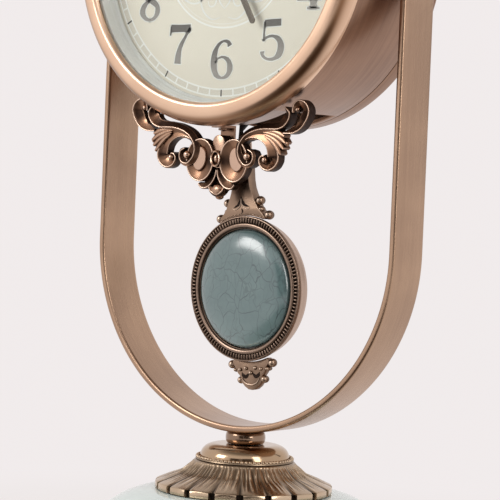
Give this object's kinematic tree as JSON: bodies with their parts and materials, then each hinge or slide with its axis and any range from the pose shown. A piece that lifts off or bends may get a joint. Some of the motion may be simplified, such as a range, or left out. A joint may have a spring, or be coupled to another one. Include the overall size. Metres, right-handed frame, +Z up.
{
  "type": "mantel clock",
  "caption": "Round metal drum clock held in a U frame on a turned ceramic base, with a swinging oval pendulum below a cast scroll ornament.",
  "frame": {"origin": "on the floor under the middle of the base", "axes": "+Z up, the dial faces -Y, +X to the right as seen from the front"},
  "size_m": [0.2466, 0.19, 0.5289],
  "materials": {
    "brushed_copper": "brushed, lacquered",
    "bright_copper": "polished, lacquered",
    "antique_copper": "antiqued, lacquered",
    "gold_bronze": "antiqued, polished high points",
    "celadon_glaze": "opaque gloss glaze over ceramic",
    "teal_glaze": "opaque crackled gloss glaze over ceramic",
    "champagne_dial": "satin print on sheet metal",
    "grey_reflector": "satin",
    "clear_glass": "clear, flat",
    "hand_enamel": "dark enamel",
    "zinc_steel": "zinc plated",
    "black_plastic": "fine texture",
    "cell_wrap": "plain dark wrap",
    "felt_pad": "felt"
  },
  "bodies": {
    "clock": {"foot_pad_1": "felt_pad", "foot_pad_2": "felt_pad", "foot_pad_3": "felt_pad", "foot_pad_4": "felt_pad", "base_plinth": "gold_bronze", "lotus_skirt": "gold_bronze", "bead_ring": "gold_bronze", "flange_dome": "gold_bronze", "neck_collar": "gold_bronze", "side_knob_right": "gold_bronze", "side_knob_left": "gold_bronze", "side_spacer_right": "gold_bronze", "side_spacer_left": "gold_bronze", "bush_nut": "gold_bronze", "ceramic_body": "celadon_glaze", "tie_screw": "zinc_steel", "tie_nut": "zinc_steel", "tie_washer": "zinc_steel", "side_nut_right": "zinc_steel", "side_nut_left": "zinc_steel", "cover_screw_1": "zinc_steel", "cover_screw_2": "zinc_steel", "cover_screw_3": "zinc_steel", "cover_screw_4": "zinc_steel", "bracket_screw": "zinc_steel", "lug_screw": "zinc_steel", "u_frame": "brushed_copper", "drum_shell": "brushed_copper", "back_cover": "brushed_copper", "bezel": "bright_copper", "dial_glass": "clear_glass", "reflector_ring": "grey_reflector", "dial": "champagne_dial", "movement_case": "black_plastic", "battery": "cell_wrap", "scroll_ornament": "antique_copper", "ornament_bracket": "antique_copper"},
    "pendulum": {"pendulum_hanger": "black_plastic", "pendulum_rod": "gold_bronze", "rod_screw": "zinc_steel", "bob_crown": "antique_copper", "bob_ring": "bright_copper", "bob_cup": "brushed_copper", "bob_cabochon": "teal_glaze", "bob_finial": "antique_copper"},
    "minute_hand": {"minute_hand": "hand_enamel"},
    "hour_hand": {"hour_hand": "hand_enamel"},
    "set_knob": {"set_knob": "black_plastic"}
  },
  "joints": [
    {"name": "pendulum_swing", "type": "hinge", "parent": "clock", "child": "pendulum", "pos_m": [0, -0.0205, 0.3657], "axis": [0, 1, 0], "range_deg": [-3.7, 16.3]},
    {"name": "minute_spin", "type": "hinge", "parent": "clock", "child": "minute_hand", "pos_m": [0, -0.0446, 0.4261], "axis": [0, 1, 0], "continuous": true},
    {"name": "hour_spin", "type": "hinge", "parent": "clock", "child": "hour_hand", "pos_m": [0, -0.0416, 0.4261], "axis": [0, 1, 0], "continuous": true},
    {"name": "set_knob_turn", "type": "hinge", "parent": "clock", "child": "set_knob", "pos_m": [0, -0.0183, 0.4131], "axis": [0, 1, 0], "continuous": true}
  ],
  "couplings": [
    {"joint": "hour_spin", "follows": "minute_spin", "ratio": 0.083333},
    {"joint": "set_knob_turn", "follows": "minute_spin", "ratio": -0.33333}
  ]
}
